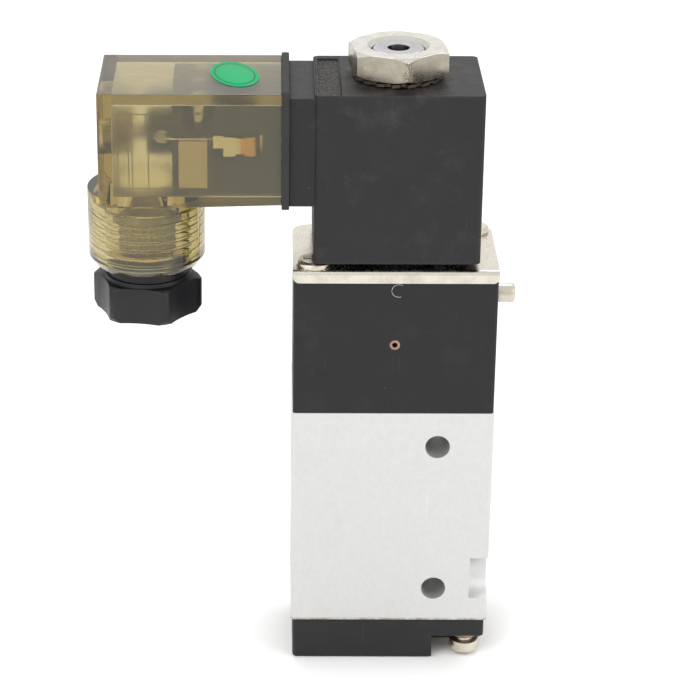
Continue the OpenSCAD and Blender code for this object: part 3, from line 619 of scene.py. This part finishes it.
def coil_path(radius, low, high, turns, steps=28, dead=1.2):
    """A compression spring's centreline up Z, with its end turns closed and nearly flat."""
    path = []
    count = int(turns * steps)
    for i in range(count + 1):
        turn = i / steps
        share = i / count
        ends = min(dead / turns, 0.45)
        if share < ends:
            rise = 0.5 * share / ends * 0.12
        elif share > 1 - ends:
            rise = 1 - 0.5 * (1 - share) / ends * 0.12
        else:
            rise = 0.06 + 0.88 * (share - ends) / (1 - 2 * ends)
        angle = 2 * math.pi * turn
        path.append((radius * math.cos(angle), radius * math.sin(angle), low + rise * (high - low)))
    return path


def add_spring(node, mean_radius, wire, turns, along="Z"):
    """A helical spring in place of its CAD tube."""
    low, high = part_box(node)
    low, high = low / MM, high / MM
    if along == "Z":
        path = coil_path(mean_radius, low.z + wire, high.z - wire, turns)
    else:
        centre_z = (low.z + high.z) / 2
        path = coil_path(mean_radius, low.x + wire, high.x - wire, turns)
        path = [(z, y, centre_z - x) for x, y, z in path]
    spring = add_piece(node + "_coil", tube_rings(path, wire), "valve", "spring_steel",
                       closed=False, caps=True)
    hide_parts(node)
    return spring


def add_springs():
    """Helical springs in place of the CAD tubes, each given a mesh of its own."""
    spring = add_spring("return_spring", mean_radius=2.85, wire=0.33, turns=6.5)
    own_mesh(spring)
    spring = add_spring("override_spring", mean_radius=1.375, wire=0.2, turns=4.5, along="X")
    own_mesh(spring)
    spring = add_spring("armature_spring", mean_radius=1.65, wire=0.22, turns=9.0)
    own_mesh(spring)


def add_grommet():
    """The cable seal in the collar: 24 fine ribs down its side and a flange on top."""
    low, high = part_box("gland_grommet")
    low, high = low / MM, high / MM
    x = (low.x + high.x) / 2
    flange = high.z - 1.6
    sides, ribs = 144, 24

    def ring(radius, z, rib=0.0):
        points = []
        for k in range(sides):
            turn = 2 * math.pi * k / sides
            r = radius - rib * (0.5 + 0.5 * math.cos(ribs * turn))
            points.append((x + r * math.cos(turn), r * math.sin(turn), z))
        return points

    rings = [
        ring(3.05, low.z + 0.3), ring(3.3, low.z), ring(4.2, low.z, 0.1), ring(4.65, low.z + 0.4, 0.4),
        ring(4.65, low.z + 2.4, 0.4), ring(4.65, flange - 0.5, 0.4), ring(4.7, flange - 0.02, 0.1),
        ring(5.4, flange), ring(5.58, flange + 0.2), ring(5.58, high.z - 0.25), ring(5.35, high.z),
        ring(3.5, high.z), ring(3.2, high.z - 0.2), ring(3.05, high.z - 0.6),
    ]
    grommet = add_piece("gland_grommet_ribbed", rings, "coil_set", "clear_rubber")
    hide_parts("gland_grommet")


def add_washer():
    """The toothed lock washer under the coil nut."""
    low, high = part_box("coil_washer")
    bottom, top = low.z / MM, high.z / MM
    teeth, steps = 18, 8
    bore, tip, root = 4.6, 7.7, 7.2
    tooth, twist, inset = 0.62, 0.14, 0.25
    rings = [[], [], [], []]
    for k in range(teeth * steps):
        turn = 2 * math.pi * k / (teeth * steps)
        phase = (k % steps) / steps
        outside = tip if phase < tooth else root
        tilt = twist * (phase / tooth - 0.5) if phase < tooth else 0.0
        corners = [(bore, bottom + inset, 0), (outside, bottom + inset, tilt),
                   (outside, top - inset, tilt), (bore, top - inset, 0)]
        for ring, (r, z, swing) in zip(rings, corners):
            ring.append((r * math.cos(turn), r * math.sin(turn), z + swing))
    washer = add_piece("coil_lock_washer", rings, "valve", SLOT_OF["coil_washer"], "lock_washer_steel",
                       smooth=False)
    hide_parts("coil_washer")


def add_label():
    """The oval sticker, a little askew, with a rounded edge."""
    low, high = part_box("inspection_label")
    centre = (low + high) / 2 / MM
    bottom, top = low.z / MM, high.z / MM
    a, b = LABEL_HALF[0] / MM, LABEL_HALF[1] / MM
    rings = []
    for inset, z in [(0.02, bottom), (0, bottom + 0.04), (0, top - 0.04), (0.05, top)]:
        ring = []
        for k in range(96):
            turn = 2 * math.pi * k / 96
            x, y = (a - inset) * math.cos(turn), (b - inset) * math.sin(turn)
            ring.append((centre.x + x * math.cos(LABEL_TURN) - y * math.sin(LABEL_TURN),
                         centre.y + x * math.sin(LABEL_TURN) + y * math.cos(LABEL_TURN), z))
        rings.append(ring)
    label = add_piece("oval_label", rings, "coil_set", SLOT_OF["inspection_label"], closed=False, caps=True)
    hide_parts("inspection_label")


def add_wall_ribs():
    """Fine ribs that outline the circuit's places inside the housing's front wall."""
    low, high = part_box("connector_housing")
    front = low.y / MM + WALL + 0.01
    back, wide = front + 0.1, 0.07
    left, right = low.x / MM, high.x / MM
    top = high.z / MM
    x0, x1, x2, x3, x4, x5 = left + 5.9, left + 7.7, left + 8.3, left + 11.0, left + 16.3, left + 21.2
    z0, z1, z2, z3 = top - 16.9, top - 7.2, top - 5.0, top - 3.9
    lines = [
        (x0, z0, x5, z0), (x0, z3, x5, z3), (x0, z0, x0, z3), (x5, z0, x5, z3), (x1, z0, x1, z3),
        (x2, z0, x2, z3), (x3, z0, x3, z1), (x3 - 0.4, z1, x3 - 0.4, z3), (x1, z1, x4, z1),
        (x4, z1, x4, z3), (x3 - 0.4, z2, x4, z2),
    ]
    for i, (xa, za, xb, zb) in enumerate(lines):
        corners = (xa - wide, front, za - wide), (xb + wide, back, zb + wide)
        bar("wall_rib_%02d" % (i + 1), *corners, "amber_plastic", "coil_set", "etched_line")


def add_lint():
    """A short curled fibre caught on the pilot block's front."""
    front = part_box("pilot_block")[0].y / MM
    path = []
    for i in range(26):
        turn = math.radians(62 + 9.0 * i)
        path.append((0.5 + 1.25 * math.cos(turn), front - 0.05, 71.9 + 1.15 * math.sin(turn)))
    add_piece("lint_fibre", tube_rings(path, 0.05, 6), "valve", "black_plastic", "lint",
              closed=False, caps=True)


def bar(name, low, high, slot, body, material=None):
    """A straight bar between two corners, in millimetres."""
    x0, y0, z0 = low
    x1, y1, z1 = high
    rings = [[(x0, y0, z), (x1, y0, z), (x1, y1, z), (x0, y1, z)] for z in (z0, z1)]
    return add_piece(name, rings, body, slot, material, closed=False, caps=True, smooth=False)


def cut_threads():
    """G1/4 threads in the three ports, cut by helical cutters."""
    body_low, body_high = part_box("valve_body")
    half = body_high.x / MM
    middle = (body_low.z + body_high.z) / 2 / MM
    spacing = 9.5
    pitch, steps, turns = 1.337, 40, 5.6
    tooth = [(-0.6, 5.6), (-0.1, 6.5), (0.1, 6.5), (0.6, 5.6)]
    for name, side, z in [("supply", -1, middle - spacing), ("exhaust", -1, middle + spacing),
                          ("outlet", 1, middle)]:
        rings = []
        for i in range(int(turns * steps) + 1):
            turn = 2 * math.pi * i / steps
            depth = 0.5 + pitch * i / steps
            x = side * (half - depth)
            around = Vector((0, math.cos(turn), math.sin(turn)))
            ring = []
            for along, r in tooth:
                ring.append(Vector((x + along, 0, z)) + r * around)
            rings.append(ring)
        cutter = add_piece("thread_cutter_" + name, rings, None, None, "spring_steel",
                           closed=False, caps=True)
        cutter.hide_render = True
        cutter.hide_viewport = True
        cut = CAD["valve_body"].modifiers.new("thread_" + name, "BOOLEAN")
        cut.operation = "DIFFERENCE"
        cut.solver = "EXACT"
        cut.object = cutter


add_springs()
add_grommet()
add_washer()
add_label()
add_wall_ribs()
add_lint()
cut_threads()


# ---------------------------------------------------------------- studio

def add_floor():
    size = 3.0
    mesh = bmesh.new()
    corners = [mesh.verts.new((x * size, y * size, 0)) for x, y in ((-1, -1), (1, -1), (1, 1), (-1, 1))]
    mesh.faces.new(corners)
    data = bpy.data.meshes.new("floor")
    mesh.to_mesh(data)
    mesh.free()
    floor = bpy.data.objects.new("floor", data)
    bpy.context.scene.collection.objects.link(floor)
    paper = Look("floor_paper", Roughness=0.8)
    tone = paper.noise(40, 3.0, 0.5)
    paper.set("Base Color", paper.mix(tone, (0.955, 0.955, 0.955), (0.975, 0.975, 0.975)))
    floor.data.materials.append(paper.material)


def add_light(name, place, target, size, power):
    lamp = bpy.data.lights.new(name, "AREA")
    lamp.shape = "RECTANGLE"
    lamp.size, lamp.size_y = size
    lamp.energy = power
    light = bpy.data.objects.new(name, lamp)
    bpy.context.scene.collection.objects.link(light)
    light.location = place
    aim = Vector(target) - Vector(place)
    light.rotation_euler = aim.to_track_quat("-Z", "Y").to_euler()


def add_studio():
    world = bpy.data.worlds.new("studio")
    bpy.context.scene.world = world
    world.use_nodes = True
    background = world.node_tree.nodes["Background"]
    background.inputs["Color"].default_value = (1.0, 1.0, 1.0, 1)
    background.inputs["Strength"].default_value = 0.95
    middle = (-0.01, 0, 0.06)
    add_light("key", (-0.55, -0.75, 0.85), middle, (0.7, 0.7), 5.0)
    add_light("fill", (0.8, -0.5, 0.6), middle, (0.6, 0.8), 2.5)
    add_light("back", (0.1, 0.9, 0.9), middle, (1.0, 0.5), 3.0)
    bpy.context.scene.view_settings.view_transform = "Standard"


def add_camera():
    data = bpy.data.cameras.new("camera")
    data.lens = 133.1
    data.sensor_width = 36
    data.shift_x = 0.107
    camera = bpy.data.objects.new("camera", data)
    bpy.context.scene.collection.objects.link(camera)
    camera.location = (-0.02115, -0.40979, 0.23792)
    camera.rotation_euler = (math.radians(66.18), 0, 0)
    camera.rotation_euler.rotate_axis("Z", math.radians(0.158))
    bpy.context.scene.camera = camera


add_floor()
add_studio()
add_camera()
